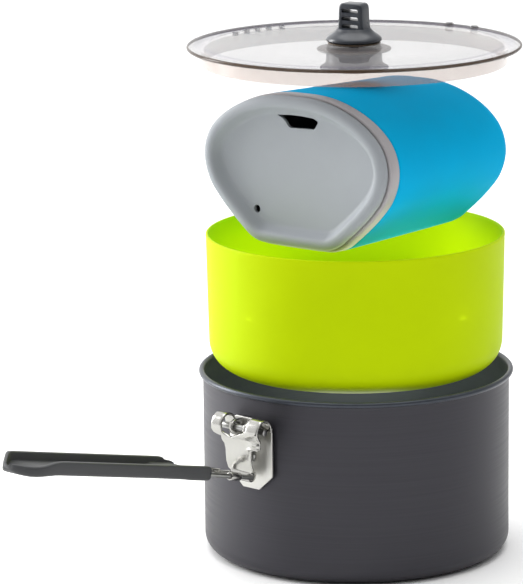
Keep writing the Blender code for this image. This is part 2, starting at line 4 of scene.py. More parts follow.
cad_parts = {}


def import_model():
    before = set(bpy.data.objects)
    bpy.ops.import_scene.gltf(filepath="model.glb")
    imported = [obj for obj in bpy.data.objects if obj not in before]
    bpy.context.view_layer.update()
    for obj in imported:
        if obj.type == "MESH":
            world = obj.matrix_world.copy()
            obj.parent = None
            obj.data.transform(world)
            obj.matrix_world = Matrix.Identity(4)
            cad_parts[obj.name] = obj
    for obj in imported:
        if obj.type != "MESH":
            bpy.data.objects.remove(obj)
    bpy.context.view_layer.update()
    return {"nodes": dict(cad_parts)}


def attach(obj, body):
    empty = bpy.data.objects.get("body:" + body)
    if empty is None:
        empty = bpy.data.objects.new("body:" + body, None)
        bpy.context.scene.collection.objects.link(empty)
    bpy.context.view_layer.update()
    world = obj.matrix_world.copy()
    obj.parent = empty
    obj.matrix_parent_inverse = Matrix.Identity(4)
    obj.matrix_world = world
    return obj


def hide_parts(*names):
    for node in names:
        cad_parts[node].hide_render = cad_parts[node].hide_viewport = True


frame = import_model()
MM = 0.001
scn = bpy.context.scene
scn.view_settings.view_transform = "Standard"


# ---------------------------------------------------------------- helpers
def lin(r, g, b):
    def f(c):
        c = c / 255.0
        return c / 12.92 if c <= 0.04045 else ((c + 0.055) / 1.055) ** 2.4
    return (f(r), f(g), f(b), 1.0)


def new_mat(name):
    m = bpy.data.materials.new(name)
    m.use_nodes = True
    nt = m.node_tree
    return m, nt, nt.nodes["Principled BSDF"]


def noise(nt, scale=(1, 1, 1), s=50.0, detail=4.0, rough=0.5, coord="Object"):
    tc = nt.nodes.new("ShaderNodeTexCoord")
    mp = nt.nodes.new("ShaderNodeMapping")
    mp.inputs["Scale"].default_value = scale
    nz = nt.nodes.new("ShaderNodeTexNoise")
    nz.inputs["Scale"].default_value = s
    nz.inputs["Detail"].default_value = detail
    nz.inputs["Roughness"].default_value = rough
    nt.links.new(tc.outputs[coord], mp.inputs["Vector"])
    nt.links.new(mp.outputs["Vector"], nz.inputs["Vector"])
    return nz


def ramp(nt, src, a, b, lo=0.3, hi=0.7):
    r = nt.nodes.new("ShaderNodeValToRGB")
    r.color_ramp.elements[0].position = lo
    r.color_ramp.elements[1].position = hi
    r.color_ramp.elements[0].color = a
    r.color_ramp.elements[1].color = b
    nt.links.new(src, r.inputs["Fac"])
    return r


def remap(nt, src, a, b):
    r = nt.nodes.new("ShaderNodeMapRange")
    r.inputs["From Min"].default_value = 0.3
    r.inputs["From Max"].default_value = 0.7
    r.inputs["To Min"].default_value = a
    r.inputs["To Max"].default_value = b
    nt.links.new(src, r.inputs["Value"])
    return r


def bump(nt, bsdf, src, strength, dist):
    b = nt.nodes.new("ShaderNodeBump")
    b.inputs["Strength"].default_value = strength
    b.inputs["Distance"].default_value = dist
    nt.links.new(src, b.inputs["Height"])
    nt.links.new(b.outputs["Normal"], bsdf.inputs["Normal"])
    return b


def surface(name, rgb, rough=0.4, metal=0.0, vary=0.05, cs=(1, 1, 1), cscale=60.0, bs=(1, 1, 1), bscale=900.0,
            bstr=0.15, bdist=0.0001, rvary=0.05, coat=0.0, spec=0.5, sss=0.0, trans=0.0, ior=None):
    m, nt, b = new_mat(name)
    c = lin(*rgb)
    n1 = noise(nt, cs, cscale, 5.0)
    lo = tuple(x * (1 - vary) for x in c[:3]) + (1.0,)
    hi = tuple(min(1.0, x * (1 + vary)) for x in c[:3]) + (1.0,)
    r = ramp(nt, n1.outputs["Fac"], lo, hi)
    nt.links.new(r.outputs["Color"], b.inputs["Base Color"])
    rr = remap(nt, n1.outputs["Fac"], rough * (1 - rvary), min(1.0, rough * (1 + rvary)))
    nt.links.new(rr.outputs["Result"], b.inputs["Roughness"])
    b.inputs["Metallic"].default_value = metal
    b.inputs["Specular IOR Level"].default_value = spec
    b.inputs["Coat Weight"].default_value = coat
    if trans:
        b.inputs["Transmission Weight"].default_value = trans
    if ior:
        b.inputs["IOR"].default_value = ior
    if sss:
        b.inputs["Subsurface Weight"].default_value = sss
        b.inputs["Subsurface Radius"].default_value = (0.004, 0.004, 0.004)
    n2 = noise(nt, bs, bscale, 3.0)
    bump(nt, b, n2.outputs["Fac"], bstr, bdist)
    return m


def obj(bm, name, mats, angle=40.0):
    bmesh.ops.remove_doubles(bm, verts=bm.verts, dist=1e-7)
    bmesh.ops.recalc_face_normals(bm, faces=bm.faces)
    me = bpy.data.meshes.new(name)
    bm.to_mesh(me)
    bm.free()
    o = bpy.data.objects.new(name, me)
    scn.collection.objects.link(o)
    for m in (mats if isinstance(mats, (list, tuple)) else [mats]):
        me.materials.append(m)
    me.shade_smooth()
    me.set_sharp_from_angle(angle=math.radians(angle))
    return o


def arc(cx, cz, r, a0, a1, n):
    return [(cx + r * math.cos(math.radians(a0 + (a1 - a0) * i / n)),
             cz + r * math.sin(math.radians(a0 + (a1 - a0) * i / n))) for i in range(n + 1)]


def lathe(name, prof, mats, seg=160, closed=False, mi=None, angle=40.0):
    bm = bmesh.new()
    rings = []
    for p in prof:
        r, z = p[0], p[1]
        if r < 1e-6:
            rings.append([bm.verts.new((0, 0, z * MM))])
        else:
            rings.append([bm.verts.new((r * math.cos(2 * math.pi * k / seg) * MM, r * math.sin(2 * math.pi * k / seg) * MM, z * MM))
                          for k in range(seg)])
    n = len(rings)
    for i in range(n if closed else n - 1):
        a, b = rings[i], rings[(i + 1) % n]
        for k in range(seg):
            k2 = (k + 1) % seg
            if len(a) == 1 and len(b) == 1:
                continue
            if len(a) == 1:
                f = bm.faces.new((a[0], b[k], b[k2]))
            elif len(b) == 1:
                f = bm.faces.new((a[k], b[0], a[k2]))
            else:
                f = bm.faces.new((a[k], b[k], b[k2], a[k2]))
            if mi is not None:
                f.material_index = mi(i, k)
    return obj(bm, name, mats, angle)


def loft(name, rings, mats, wrap=False, cap0=True, cap1=True, mi=None, angle=40.0):
    bm = bmesh.new()
    rs = [[bm.verts.new((p[0] * MM, p[1] * MM, p[2] * MM)) for p in r] for r in rings]
    n, m = len(rs[0]), len(rs)
    for i in range(m if wrap else m - 1):
        a, b = rs[i], rs[(i + 1) % m]
        for k in range(n):
            k2 = (k + 1) % n
            f = bm.faces.new((a[k], a[k2], b[k2], b[k]))
            if mi is not None:
                f.material_index = mi(i, k)
    if not wrap:
        if cap0:
            bm.faces.new(rs[0][::-1])
        if cap1:
            f = bm.faces.new(rs[-1])
            if mi is not None:
                f.material_index = mi(m - 1, 0)
    return obj(bm, name, mats, angle)


def tube_rings(path, r, seg=20, cap=0.0):
    pts = [Vector(p) for p in path]
    T = []
    for i in range(len(pts)):
        T.append((pts[min(i + 1, len(pts) - 1)] - pts[max(i - 1, 0)]).normalized())
    up = Vector((0, 0, 1)) if abs(T[0].z) < 0.9 else Vector((1, 0, 0))
    nn = (up - T[0] * up.dot(T[0])).normalized()
    out = []
    for i, (p, t) in enumerate(zip(pts, T)):
        nn = (nn - t * nn.dot(t)).normalized()
        bi = t.cross(nn)
        rr = r[i] if isinstance(r, (list, tuple)) else r
        out.append([p + (nn * math.cos(2 * math.pi * k / seg) + bi * math.sin(2 * math.pi * k / seg)) * rr for k in range(seg)])
    return out


def tube(name, path, r, mats, seg=20):
    return loft(name, tube_rings(path, r, seg), mats)


def spline(pts, n, closed=False):
    """Catmull-Rom through points, resampled to n points by length."""
    P = [Vector(p) for p in pts]
    m = len(P)
    dense = []
    for i in range(m if closed else m - 1):
        if closed:
            a, b, c, d = P[i - 1], P[i], P[(i + 1) % m], P[(i + 2) % m]
        else:
            a, b, c, d = P[max(i - 1, 0)], P[i], P[i + 1], P[min(i + 2, m - 1)]
        for j in range(24):
            t = j / 24
            dense.append(0.5 * ((2 * b) + (c - a) * t + (2 * a - 5 * b + 4 * c - d) * t * t + (3 * b - a - 3 * c + d) * t ** 3))
    dense.append(P[0] if closed else P[-1])
    L = [0.0]
    for i in range(1, len(dense)):
        L.append(L[-1] + (dense[i] - dense[i - 1]).length)
    out, j = [], 0
    cnt = n if closed else n - 1
    for k in range(n):
        s = L[-1] * k / cnt
        while j < len(L) - 2 and L[j + 1] < s:
            j += 1
        t = (s - L[j]) / max(L[j + 1] - L[j], 1e-9)
        out.append(dense[j].lerp(dense[j + 1], min(max(t, 0), 1)))
    return out


def apply_mods(o):
    dg = bpy.context.evaluated_depsgraph_get()
    me = bpy.data.meshes.new_from_object(o.evaluated_get(dg))
    o.modifiers.clear()
    o.data = me
    return o


def bevel(o, w, seg=3, angle=30.0):
    m = o.modifiers.new("bevel", "BEVEL")
    m.width = w * MM
    m.segments = seg
    m.limit_method = "ANGLE"
    m.angle_limit = math.radians(angle)
    m.harden_normals = False
    apply_mods(o)
    o.data.shade_smooth()
    o.data.set_sharp_from_angle(angle=math.radians(50))
    return o


def cut(o, cutters, op="DIFFERENCE"):
    for c in cutters:
        m = o.modifiers.new("cut", "BOOLEAN")
        m.operation = op
        m.solver = "EXACT"
        m.object = c
        apply_mods(o)
        bpy.data.objects.remove(c, do_unlink=True)
    o.data.shade_smooth()
    o.data.set_sharp_from_angle(angle=math.radians(40))
    return o


def place(o, body, nodes):
    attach(o, body)
    if nodes:
        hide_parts(*nodes)
    return o


# -------------------------------------------------------------- materials
# fine brushing that runs round the pot: noise that changes fast with height only
pot_out = surface("anodised_out", (58, 57, 63), rough=0.46, metal=0.55, vary=0.10, cs=(0.6, 0.6, 60), cscale=22.0,
                  bs=(1, 1, 90), bscale=40.0, bstr=0.10, bdist=0.00008, rvary=0.10)
# inside wall: the outer anodising made lighter and bluer, a painted reflection of the surroundings on the inner wall
pot_in_reflection_tint = surface("anodised_in_painted_reflection", (70, 76, 84), rough=0.5, metal=0.3, vary=0.10, cs=(0.6, 0.6, 60), cscale=22.0,
                 bs=(1, 1, 90), bscale=40.0, bstr=0.10, bdist=0.00008, rvary=0.10)
# rim bead: a slightly lighter copy of the pot colour, a painted highlight along the rolled bead
pot_rim_highlight = surface("anodised_rim_painted_highlight", (62, 66, 74), rough=0.34, metal=0.6, vary=0.08, cscale=200.0, bscale=900.0, bstr=0.05)
lime = surface("lime", (190, 216, 0), rough=0.5, vary=0.02, cscale=35.0, bscale=1400.0, bstr=0.10, bdist=0.00005, sss=0.0, spec=0.04)
# inside of the bowl: a lighter, yellower copy of the lime, painted light standing in for the light that fills the bowl
lime_in_lit = surface("lime_inside_painted_light", (224, 220, 0), rough=0.5, vary=0.02, cscale=35.0, bscale=1400.0, bstr=0.10, bdist=0.00005, spec=0.04)
blue = surface("blue_foam", (0, 171, 222), rough=0.75, vary=0.03, cscale=40.0, bscale=2600.0, bstr=0.35, bdist=0.00008, spec=0.05)
cupm = surface("cup_translucent", (168, 164, 166), rough=0.42, vary=0.03, cscale=60.0, bscale=1200.0, bstr=0.08, sss=0.2)
mlidm = surface("soft_grey", (152, 157, 162), rough=0.62, vary=0.025, cscale=45.0, bscale=1500.0, bstr=0.25, bdist=0.00006)
gripm = surface("grip_rubber_v", (58, 59, 61), rough=0.58, vary=0.06, cscale=80.0, bscale=1600.0, bstr=0.30, bdist=0.00007)
knobm = surface("knob_nylon_v", (50, 54, 61), rough=0.28, vary=0.05, cscale=90.0, bscale=1500.0, bstr=0.18, bdist=0.00006)
steel = surface("stamped_steel", (180, 179, 175), rough=0.20, metal=1.0, vary=0.03, cs=(1, 1, 0.25), cscale=260.0,
                bs=(1, 1, 0.1), bscale=900.0, bstr=0.08, bdist=0.00005, rvary=0.25)
steel3 = surface("plate_steel", (205, 204, 200), rough=0.42, metal=1.0, vary=0.04, cs=(1, 1, 0.4), cscale=260.0, bscale=900.0, bstr=0.08, bdist=0.00005, rvary=0.2)
steel2 = surface("pin_steel_v", (160, 160, 158), rough=0.3, metal=1.0, vary=0.05, cscale=300.0, bscale=900.0, bstr=0.06)
tan = surface("tan_washer_v", (98, 84, 68), rough=0.3, vary=0.12, cs=(1, 1, 6), cscale=160.0, bscale=700.0, bstr=0.1)
dark = surface("dark_retainer_v", (58, 58, 62), rough=0.35, vary=0.06, cscale=120.0, bscale=900.0, bstr=0.08)


def smoked(name, rgb, alpha, rough=0.08, spec=0.5):
    """Thin tinted clear plastic seen straight through."""
    m, nt, b = new_mat(name)
    c = lin(*rgb)
    n1 = noise(nt, (1, 1, 1), 18.0, 3.0)
    r = ramp(nt, n1.outputs["Fac"], tuple(x * 0.95 for x in c[:3]) + (1,), tuple(min(1, x * 1.05) for x in c[:3]) + (1,))
    nt.links.new(r.outputs["Color"], b.inputs["Base Color"])
    rr = remap(nt, n1.outputs["Fac"], rough * 0.8, rough * 1.2)
    nt.links.new(rr.outputs["Result"], b.inputs["Roughness"])
    b.inputs["Specular IOR Level"].default_value = spec
    b.inputs["Alpha"].default_value = alpha
    n2 = noise(nt, (1, 1, 1), 60.0, 2.0)
    bump(nt, b, n2.outputs["Fac"], 0.03, 0.0001)
    return m


lidm = smoked("smoke_clear", (128, 125, 127), 0.36)
lid_edge = smoked("smoke_edge", (62, 46, 32), 0.95, 0.16, 0.2)
# strainer hole walls and lips: a lighter, more opaque tint of the lid plastic, painted glints
lid_glint = smoked("smoke_hole_painted_glint", (150, 136, 118), 0.45, 0.08)
lid_skirt = smoked("smoke_skirt", (172, 138, 116), 0.32, 0.10)
# groove ring on top: a darker, more violet copy of the lid plastic, painted shade in the shallow groove
lid_groove_shade = smoked("smoke_groove_painted_shade", (120, 116, 132), 0.41, 0.10)

# -------------------------------------------------------------------- pot
POT_R, POT_WALL, POT_H = 71.0, 0.9, 85.75
prof = [(0, 0.0), (30, 0.0), (58, 0.0)]
prof += arc(63.5, 7.5, 7.5, -90, 0, 14)
prof += [(71.0, 12), (71.0, 30), (71.0, 50), (71.0, 70), (71.0, 81.4), (71.05, 82.6), (71.2, 83.3)]
nb0 = len(prof)
prof += arc(71.6, 84.45, 1.3, -70, 150, 16)
nb1 = len(prof)
prof += [(70.2, 84.6), (70.1, 83.8), (70.1, 60), (70.1, 30), (70.1, 12), (70.1, 7.5)]
prof += arc(63.5, 7.5, 6.6, 0, -90, 10)
prof += [(40, 0.9), (0, 0.9)]
# slots: outside, rim bead with painted highlight, inside with painted reflection
pot = lathe("pot_shell", prof, [pot_out, pot_rim_highlight, pot_in_reflection_tint], seg=224,
            mi=lambda i, k: 0 if i < nb0 else (1 if i < nb1 else 2))
place(pot, "pot", ["pot_body"])

# ------------------------------------------------------------------- bowl
z0, zt = 86.1, 149.4
prof = [(0, z0 + 0.7), (44.0, z0 + 0.7), (46.5, z0 + 0.25), (49.0, z0)]
prof += arc(67.9 - 13.5, z0 + 13.5, 13.5, -90, 0, 16)
prof += [(68.15, 112), (68.5, 130), (68.8, zt - 2.2), (68.9, zt - 1.2)]
prof += arc(68.2, zt - 0.7, 0.7, 0, 180, 8)
prof += [(67.2, zt - 2.2), (66.9, 130), (66.55, 112)]
prof += arc(67.9 - 13.5, z0 + 13.5, 11.9, 0, -90, 14)
prof += [(0, z0 + 2.3)]
nbi = len(prof) - 17
# inner faces take the lighter lime with painted light
bowl = lathe("bowl_shell", prof, [lime, lime_in_lit], seg=224, mi=lambda i, k: 1 if i >= nbi else 0)
place(bowl, "bowl", ["bowl"])

# -------------------------------------------------------------------- mug
MUG_YAW, MUG_SIDE, MUG_Z, MUG_L, LID_D, BAND_D = -175.5, 3.35, 178.5, 105.2, 5.0, 7.0
HALF = [(0.0, 40.4), (8.0, 40.3), (16.1, 39.3), (24.3, 37.1), (32.6, 33.6), (40.4, 28.7),
        (46.7, 22.3), (50.0, 14.7), (50.2, 6.6), (47.0, -2.3), (41.0, -10.0), (34.9, -16.1),
        (29.3, -21.0), (24.7, -24.7), (19.6, -26.9), (13.0, -27.4), (0.0, -27.5)]
loop = [(x, z, 0) for x, z in HALF] + [(-x, z, 0) for x, z in HALF[-2:0:-1]]
NSEC = 176
sec = [(p.x, p.y) for p in spline(loop, NSEC, closed=True)]
nrm = []
for k in range(NSEC):
    a, b = sec[k - 2], sec[(k + 2) % NSEC]
    d = Vector((b[0] - a[0], b[1] - a[1])).normalized()
    nrm.append((-d[1], d[0]))
if nrm[0][1] < 0:
    nrm = [(-a, -b) for a, b in nrm]
yaw = math.radians(MUG_YAW)
face = Vector((math.cos(yaw), math.sin(yaw), 0))
side = Vector((-face.y, face.x, 0))


def mpt(a, x, z):
    p = face * (MUG_L / 2 - a) + side * (x + MUG_SIDE)
    return (p.x, p.y, MUG_Z + z)


def mring(a, off, taper=True, top=0.0):
    k = a / MUG_L if taper else 0.0
    out = []
    for (x, z), (nx, nz) in zip(sec, nrm):
        o = off
        out.append(mpt(a, (x + nx * o) * (1 - 0.052 * k), (z + nz * o) * (1 - 0.054 * k) - 2.74 * k ** 0.7))
    return out


A0, A1, AE = LID_D + 0.3, LID_D + BAND_D, MUG_L - 1.3
out = [(A0 + 0.2, -0.6), (A0, 0.1), (A0 + 0.15, 0.7), (A0 + 0.6, 1.15), (A0 + 1.4, 1.3), (A1 - 0.8, 1.4), (A1 - 0.35, 1.25), (A1 - 0.2, 0.9), (A1 - 0.19, -0.8),
       (AE - 12.0, -0.9), (AE - 6.5, -1.9), (AE - 3.6, -5.0), (AE - 2.6, -9.0)]
inn = [(AE - 4.4, -9.4), (AE - 5.4, -6.4), (AE - 8.4, -3.6), (AE - 11.0, -2.5), (A1 + 2.0, -2.5), (A1 - 1.5, -1.6), (A0 + 0.2, -1.3)]


def shell(name, o_, i_, mats, body, nodes, mi=None):
    bm = bmesh.new()
    ro = [[bm.verts.new((p[0] * MM, p[1] * MM, p[2] * MM)) for p in mring(a, o)] for a, o in o_]
    rn = [[bm.verts.new((p[0] * MM, p[1] * MM, p[2] * MM)) for p in mring(a, o)] for a, o in i_]
    al = ro + rn

    def band(a, b):
        for k in range(NSEC):
            bm.faces.new((a[k], a[(k + 1) % NSEC], b[(k + 1) % NSEC], b[k]))
    for i in range(len(ro) - 1):
        band(ro[i], ro[i + 1])
    for i in range(len(rn) - 1):
        band(rn[i], rn[i + 1])
    band(rn[-1], ro[0])
    bm.faces.new(ro[-1])
    bm.faces.new(rn[0][::-1])
    return place(obj(bm, name, mats), body, nodes)


shell("cup_shell", out, inn, cupm, "mug", ["mug_cup"])
so = [(A1 + 0.0, 0.5), (A1 + 0.1, 1.0), (A1 + 0.4, 1.35), (A1 + 1.0, 1.5), (A1 + 3, 1.5), (AE - 30, 1.5), (AE - 9.0, 1.45), (AE - 6.5, 1.15), (AE - 4.3, 0.4),
      (AE - 2.5, -0.9), (AE - 1.2, -2.6), (AE - 0.4, -4.8), (AE - 0.05, -7.2), (AE, -8.8)]
si = [(AE - 2.0, -8.9), (AE - 3.2, -4.7), (AE - 6.2, -1.5), (AE - 10.0, -0.5), (A1 + 0.0, -0.5)]
shell("sleeve_shell", so, si, blue, "mug", ["mug_sleeve"])

lo = [(LID_D + 6.0, -3.4, 0), (LID_D + 5.0, -2.6, 0), (LID_D + 0.1, -2.6, 0), (LID_D + 0.05, -0.9, 0), (LID_D - 0.25, -0.35, 0), (LID_D - 0.8, 0.0, 0), (LID_D - 2.0, 0.2, 0),
      (2.2, 0.15, 0), (1.4, -0.1, 0), (0.7, -0.65, 0), (0.22, -1.5, 0), (0.0, -2.6, 0), (0.0, -3.4, 0.6), (0.15, -4.2, 1.6), (0.6, -4.9, 2.0), (1.5, -5.5, 2.2),
      (2.9, -6.4, 2.2), (4.0, -7.2, 2.1), (4.7, -8.0, 2.0), (4.9, -8.9, 2.0)]
bk = [(6.6, -10.2, 1.7), (6.5, -7.2, 1.2), (6.9, -5.2, 0), (LID_D + 6.0, -4.9, 0)]
bm = bmesh.new()
ro = [[bm.verts.new((p[0] * MM, p[1] * MM, p[2] * MM)) for p in mring(a, o, False, t)] for a, o, t in lo]
rb = [[bm.verts.new((p[0] * MM, p[1] * MM, p[2] * MM)) for p in mring(a, o, False, t)] for a, o, t in bk]


def band(bm, a, b):
    for k in range(NSEC):
        bm.faces.new((a[k], a[(k + 1) % NSEC], b[(k + 1) % NSEC], b[k]))


for i in range(len(ro) - 1):
    band(bm, ro[i], ro[i + 1])
bm.faces.new(ro[-1])
bm.faces.new(rb[0][::-1])
for i in range(len(rb) - 1):
    band(bm, rb[i], rb[i + 1])
band(bm, rb[-1], ro[0])
mlid = obj(bm, "mug_lid_shell", mlidm)


def along(poly, a0, a1):
    return loft("cutter", [[mpt(a, x, z) for x, z in poly] for a in (a0, a1)], mlidm)


SIP = [(-11.1, 31.1), (-8.2, 29.8), (-6.6, 28.6), (-5.4, 26.9), (-4.6, 26.1), (-3.6, 25.8), (9.2, 26.2), (10.0, 26.8), (11.6, 29.2), (11.5, 30.1), (9.2, 31.2), (2.5, 31.7), (-4.0, 31.7)][::-1]
VENT = [(-23.1 + 1.75 * math.cos(t * math.pi / 12), -13.2 + 1.85 * math.sin(t * math.pi / 12)) for t in range(24)]
cut(mlid, [along(SIP, -3.0, 12.0), along(VENT, -3.0, 12.0)])
place(mlid, "mug_lid", ["mug_lid"])

# ---------------------------------------------------------------- pot lid
LT = 236.4
zu = LT - 1.6
prof = [(2.3, zu), (40, zu), (68.2, zu), (68.4, zu - 0.3), (68.4, 228.2), (68.6, 227.8), (69.1, 227.6), (69.6, 227.8), (69.8, 228.3), (69.8, zu - 0.3), (70.1, zu),
        (75.9, zu)] + arc(75.7, LT - 0.8, 0.75, -80, 80, 8) + [(75.7, LT), (73.0, LT), (72.6, LT - 0.1), (72.2, LT - 0.35), (67.7, LT - 0.35), (67.3, LT - 0.1), (66.9, LT), (40, LT), (2.3, LT)]
# slots: clear top, brown edge, skirt, and groove ring with painted shade
lid = lathe("lid_shell", prof, [lidm, lid_edge, lid_skirt, lid_groove_shade], seg=224, closed=True,
            mi=lambda i, k: 1 if 11 <= i <= 20 else (2 if 3 <= i <= 9 else (3 if 22 <= i <= 26 else 0)))
# strainer holes and their raised lips, coloured with the painted-glint tint
cs, lips = [], []
for az, rad, rr_h in ((98.4, 65.4, 1.3), (91.0, 65.4, 1.3), (84.7, 65.4, 1.3), (78.8, 65.4, 1.3), (72.3, 65.4, 1.3), (3.2, 73.2, 1.5), (-9.1, 73.2, 1.5)):
    x, y = rad * MM * math.cos(math.radians(az)), rad * MM * math.sin(math.radians(az))
    c = lathe("c", [(0, zu - 1), (rr_h, zu - 1), (rr_h, LT + 3), (0, LT + 3)], lid_glint, seg=24)
    c.data.transform(Matrix.Translation((x, y, 0)))
    cs.append(c)
    hgt = 0.4 if rad < 70 else 0.9
    c = lathe("c", [(0, LT - 0.6), (rr_h + 0.6, LT - 0.6), (rr_h + 0.55, LT + hgt * 0.5), (rr_h + 0.25, LT + hgt), (0, LT + hgt)], lid_glint, seg=24)
    c.data.transform(Matrix.Translation((x, y, 0)))
    lips.append(c)
cut(lid, lips, "UNION")
cut(lid, cs)
place(lid, "pot_lid", ["lid_disc"])

KZ, KT = 237.6, 255.2
place(lathe("washer_v", [(2.3, LT + 0.2), (11.7, LT + 0.2), (12.1, LT + 0.4), (12.1, LT + 0.7), (11.8, KZ - 0.2), (2.3, KZ - 0.2)],
            tan, seg=96, closed=True), "pot_lid", ["knob_washer"])
place(lathe("gasket_v", [(2.3, zu - 0.2), (2.3, zu - 1.6), (15.5, zu - 1.6), (16.5, zu - 1.4), (17.0, zu - 0.9), (17.0, zu - 0.4), (16.7, zu - 0.2)],
            tan, seg=96, closed=True), "pot_lid", ["lid_gasket"])
place(lathe("retainer_v", [(2.3, zu - 1.8), (2.3, zu - 10.0), (14.8, zu - 10.0), (15.4, zu - 9.8), (15.7, zu - 9.3), (15.6, zu - 8.8), (15.0, zu - 8.5), (13.6, zu - 7.7),
                           (13.0, zu - 6.8), (12.8, zu - 5.6), (12.8, zu - 2.2), (12.4, zu - 1.8)], dark, seg=96, closed=True), "pot_lid", ["knob_retainer"])
place(lathe("screw_v", [(0, zu - 11.5), (1.2, zu - 11.5), (2.4, zu - 11.5), (3.2, zu - 11.3), (3.7, zu - 10.8), (3.7, zu - 10.2), (1.9, zu - 10.2), (1.9, KZ + 4.4), (0, KZ + 4.4)],
            steel2, seg=48), "pot_lid", ["knob_screw"])

# knob: flared foot into a flat paddle
knob = lathe("knob_v", [(0, KZ), (11.8, KZ), (12.4, KZ + 0.2), (12.7, KZ + 0.6), (12.65, KZ + 1.2), (12.2, KZ + 1.9), (11.1, KZ + 2.8), (9.9, KZ + 3.6),
                        (8.9, KZ + 4.4), (8.2, KZ + 5.2), (7.7, KZ + 6.0), (0, KZ + 6.0)], knobm, seg=96)
KY = math.radians(-169.0)


def kf(a, b, t):
    c, s = math.cos(KY), math.sin(KY)
    return (t * c - a * s, t * s + a * c, b)


hw, ht = 6.2, 4.0
pol = [(-hw - 0.9, KZ + 3.0), (hw + 0.9, KZ + 3.0), (hw + 0.6, KZ + 5.0), (hw + 0.25, KZ + 7.5), (hw, KZ + 10.5), (hw - 0.15, KT - 3.0)]
pol += [(hw - 2.3 + p[0], KT - 2.1 + p[1]) for p in [(2.0 * math.cos(math.radians(a)), 2.0 * math.sin(math.radians(a))) for a in (10, 30, 50, 70, 90)]]
pol += [(-x, z) for x, z in pol[::-1]][:-2] + [(-hw - 0.6, KZ + 5.0)]
rr = []
for t, g in ((-ht, 0.9), (-ht + 0.12, 0.55), (-ht + 0.35, 0.25), (-ht + 0.7, 0.06), (-ht + 1.1, 0.0), (ht - 1.1, 0.0), (ht - 0.7, 0.06), (ht - 0.35, 0.25), (ht - 0.12, 0.55), (ht, 0.9)):
    rr.append([kf(a * (1 - g / hw), b - (g * 0.8 if b > KT - 6 else 0) * min(1.0, max(0.0, (b - (KT - 6)) / 4)), t) for a, b in pol])
pad = loft("pad", rr, knobm)
cut(knob, [pad], "UNION")
cs = []
for zz in (KT - 3.5, KT - 7.1, KT - 10.6):
    q = []
    for cx, a0 in ((3.5, -90), (-3.5, 90)):
        q += [(cx + 0.85 * math.cos(math.radians(a0 + k * 30)), zz + 0.85 * math.sin(math.radians(a0 + k * 30))) for k in range(7)]
    cs.append(loft("c", [[kf(a, b, t) for a, b in q] for t in (-9, 9)], knobm))
cut(knob, cs)
bevel(knob, 0.25, 2, 40)
place(knob, "pot_lid", ["lid_knob"])


# ------------------------------------------------- small parts from the CAD
def copy_of(node, body, mat, w, seg=2):
    src = frame["nodes"][node]
    o = bpy.data.objects.new(node + "_v", src.data.copy())
    scn.collection.objects.link(o)
    o.data.materials.clear()
    o.data.materials.append(mat)
    bm = bmesh.new()
    bm.from_mesh(o.data)
    bmesh.ops.remove_doubles(bm, verts=bm.verts, dist=1e-6)
    bmesh.ops.dissolve_limit(bm, angle_limit=math.radians(1.0), verts=bm.verts, edges=bm.edges)
    bm.to_mesh(o.data)
    bm.free()
    if w:
        bevel(o, w, seg)
    return place(o, body, [node])


for n in ("bracket_plate", "lug_left", "lug_right"):
    copy_of(n, "pot", steel3 if n == "bracket_plate" else steel, 0.25)
for n in ("rivet_head_upper", "rivet_head_lower", "hinge_pin"):
    copy_of(n, "pot", steel2, 0.1)
for n in ("rivet_upper", "rivet_lower"):
    copy_of(n, "pot", steel, 0.0)

# claw: two curled ears on the pin, a web with a slanted top edge, a barrel on the wire
PU, PZ, BU, BZ = 78.5, 71.2, 77.5, 49.5


def lerp(tab, x):
    if x <= tab[0][0]:
        return tab[0][1]
    for (a, p), (b, q) in zip(tab, tab[1:]):
        if x <= b:
            t = (x - a) / (b - a)
            t = t * t * (3 - 2 * t)
            return p + (q - p) * t
    return tab[-1][1]


cp = []                                            # (u, z, key) key runs down the sheet
for k in range(41):
    f = 190.0 - 238.0 * k / 40
    cp.append((PU + 4.75 * math.cos(math.radians(f)), PZ + 5.25 * math.sin(math.radians(f)), -f))
ue, ze = cp[-1][0], cp[-1][1]
wp = spline([(ue, ze, 0), (81.0, 63.5, 0), (80.7, 59.0, 0), (80.2, 55.5, 0), (79.2, 52.6, 0), (79.15, 51.3, 0)], 26)
cp += [(p.x, p.y, 48.0 + (ze - p.y)) for p in wp[1:]]
kb = cp[-1][2]
cp += [(BU + 2.35 * math.cos(math.radians(f)), BZ + 2.35 * math.sin(math.radians(f)), kb + 1 + k * 0.5)
       for k, f in enumerate([28 - 238 * k / 24 for k in range(25)])]
z_of = lambda key: ze - (key - 48.0)               # height of a web row
K = lambda z: 48.0 + (ze - z)
LO = [(-200, -14.0), (12, -14.0), (30, -13.3), (42, -11.6), (50, -9.4), (K(63.5), -8.0), (K(61), -7.5), (K(52.2), -7.7), (K(51.2), -6.6), (kb + 1, -5.1)]
LI = [(-200, -8.1), (18, -8.1), (32, -7.0), (42, -5.2), (48, -4.2)]
RI = [(-200, 6.9), (-8, 6.9), (4, 5.6), (16, 2.6), (28, 0.0), (40, -2.2), (48, -3.4)]
RO = [(-200, 14.0), (K(63.9), 14.0), (K(63.2), 13.2), (K(62.5), 8.8), (K(61.5), 7.9), (K(58), 7.6), (K(52.2), 7.6), (K(51.2), 6.6), (kb + 1, 5.1)]
WAVE = [(-60, 0.0), (-20, 0.15), (8, 0.25), (28, -0.15), (40, -0.35), (K(67), 0.0), (K(65.6), 0.55), (K(64.3), 0.5), (K(63.3), 1.3), (K(62.6), 0.0)]
NC = [4, 8, 6]
rowsv = []
